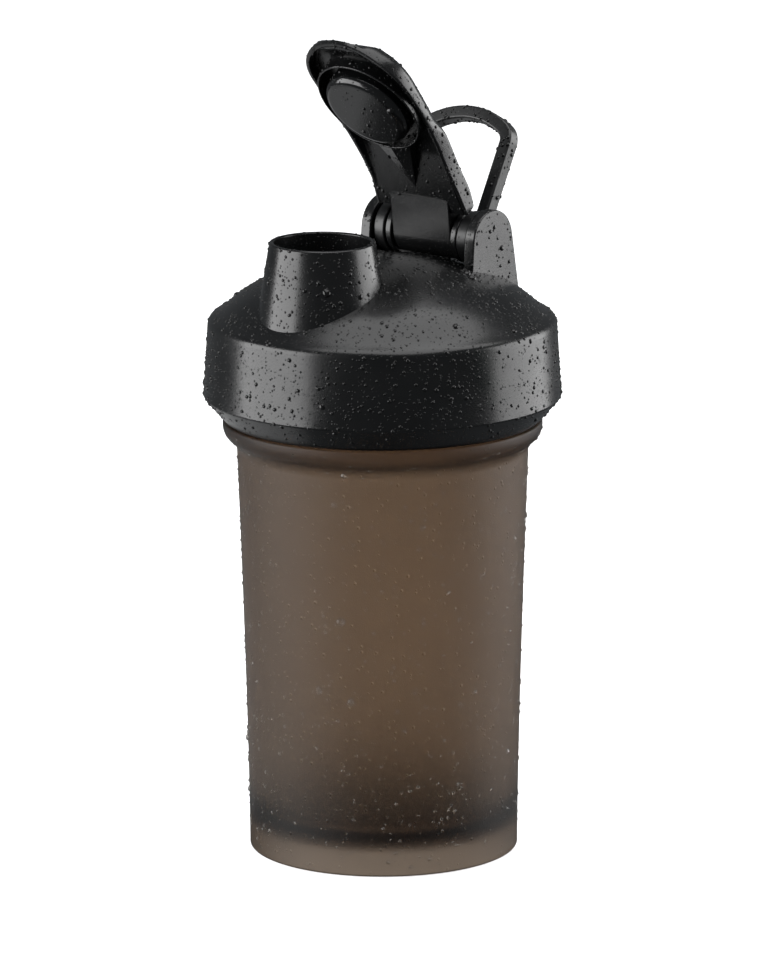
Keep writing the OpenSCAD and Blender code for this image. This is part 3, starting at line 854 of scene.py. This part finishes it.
def add_stage():
    """A plain pale floor; the camera sees it, and reflections don't."""
    bpy.ops.mesh.primitive_circle_add(vertices=96, radius=6, fill_type="NGON", location=(0, 0, -0.0002))
    floor = bpy.context.object
    floor.name = "floor"
    material, tree, bsdf = shader("pale_floor")
    bsdf.inputs["Base Color"].default_value = (0.9, 0.9, 0.9, 1)
    bsdf.inputs["Roughness"].default_value = 0.9
    bsdf.inputs["Emission Color"].default_value = (1, 1, 1, 1)
    bsdf.inputs["Emission Strength"].default_value = 0.75
    floor.data.materials.append(material)
    floor.visible_glossy = False
    floor.visible_diffuse = False
    floor.visible_shadow = False


def add_world():
    """Pale to the eye and through the jar, dim to everything else."""
    world = bpy.data.worlds.new("studio")
    bpy.context.scene.world = world
    world.use_nodes = True
    tree = world.node_tree
    tree.nodes.clear()
    path = tree.nodes.new("ShaderNodeLightPath")
    seen = tree.nodes.new("ShaderNodeMath")
    seen.operation = "MAXIMUM"
    tree.links.new(path.outputs["Is Camera Ray"], seen.inputs[0])
    tree.links.new(path.outputs["Is Transmission Ray"], seen.inputs[1])
    pale = tree.nodes.new("ShaderNodeBackground")
    pale.inputs["Color"].default_value = (1, 1, 1, 1)
    pale.inputs["Strength"].default_value = 1.0
    dim = tree.nodes.new("ShaderNodeBackground")
    dim.inputs["Color"].default_value = (0.9, 0.95, 1, 1)
    dim.inputs["Strength"].default_value = 0.12
    mix = tree.nodes.new("ShaderNodeMixShader")
    tree.links.new(seen.outputs[0], mix.inputs["Fac"])
    tree.links.new(dim.outputs[0], mix.inputs[1])
    tree.links.new(pale.outputs[0], mix.inputs[2])
    output = tree.nodes.new("ShaderNodeOutputWorld")
    tree.links.new(mix.outputs[0], output.inputs["Surface"])


def add_softbox(name, azimuth, distance, height, size, energy, aim=(0, 0, 0.13)):
    """A rectangular area light; azimuth is in degrees from +X."""
    light = bpy.data.lights.new(name, "AREA")
    light.shape = "RECTANGLE"
    light.size, light.size_y = size
    light.energy = energy
    obj = bpy.data.objects.new(name, light)
    a = math.radians(azimuth)
    obj.location = (distance * math.cos(a), distance * math.sin(a), height)
    obj.rotation_euler = (Vector(aim) - obj.location).to_track_quat("-Z", "Y").to_euler()
    bpy.context.scene.collection.objects.link(obj)
    return obj


CAMERA_AZIMUTH = -50.0                    # degrees from +X, at the front and to the right


def add_lights():
    add_softbox("left_strip", CAMERA_AZIMUTH - 76, 1.2, 0.31, (1.30, 0.86), 19.5, aim=(0, 0, 0.31))
    add_softbox("right_strip", CAMERA_AZIMUTH + 104, 1.2, 0.31, (1.25, 0.86), 14.5, aim=(0, 0, 0.31))
    add_softbox("top_box", CAMERA_AZIMUTH + 60, 0.2, 1.3, (1.6, 1.4), 17)
    card = add_softbox("floor_card", 173, 0.26, 0.002, (0.4, 0.4), 0.22, aim=(-0.258, 0.0317, 1))
    card.visible_camera = False
    card.visible_transmission = False


def add_camera():
    scene = bpy.context.scene
    camera = bpy.data.cameras.new("camera")
    obj = bpy.data.objects.new("camera", camera)
    a = math.radians(CAMERA_AZIMUTH)
    distance, height, aim = 2.2, 0.609, Vector((0, 0, 0.10314))
    obj.location = (distance * math.cos(a), distance * math.sin(a), height)
    look = (aim - obj.location).to_track_quat("-Z", "Y").to_matrix().to_4x4()
    roll = Matrix.Rotation(math.radians(-0.16), 4, "Z")
    obj.matrix_world = Matrix.Translation(obj.location) @ look @ roll
    camera.sensor_width = 36
    camera.lens = 307.35
    camera.shift_x = 0.00125
    camera.clip_start, camera.clip_end = 0.1, 50
    scene.collection.objects.link(obj)
    scene.camera = obj
    scene.view_settings.view_transform = "Standard"
    scene.view_settings.look = "None"


# ---------------------------------------------------------------- the scene

def main():
    add_camera()
    add_world()
    add_lights()
    add_stage()
    shell = black_plastic("black_shell", 0.20, 0.30, 0.00002)
    smooth_black = black_plastic("black_loop", 0.28, 0.40, 0.00002)
    inner = black_plastic("grid_plastic", 0.40, 0.52, 0.00002)
    seal = rubber()
    wet, dark = water(), dark_water()
    jar = make_jar(frosted_plastic())
    lid = make_lid(shell)
    cap = make_cap(shell)
    plug = make_plug(black_plastic("black_plug", 0.13, 0.20, 0.00001))
    loop = make_loop(smooth_black)
    for node, material in (("lid_gasket", seal), ("mixing_grid", inner)):
        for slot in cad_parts[node].material_slots:
            slot.material = material
    fine, coarse = (0.22, 0.62), (0.7, 1.3)
    few = 1.0
    add_beads("beads_jar", jar, "jar", int(2600 * few), (fine, coarse, 0.012), 11, on_jar, wet)
    add_beads("beads_lid", lid, "lid", int(3600 * few), (fine, coarse, 0.010), 12, on_lid, dark)
    add_beads("beads_cap", cap, "flip_cap", int(1200 * few), (fine, (0.6, 1.0), 0.012), 13, on_cap, dark)
    add_beads("beads_plug", plug, "flip_cap", int(90 * few), (fine, (0.6, 1.0), 0.05), 14, everywhere, dark)
    add_beads("beads_loop", loop, "carry_loop", int(300 * few), (fine, (0.6, 0.9), 0.01), 15, on_loop, dark)


main()
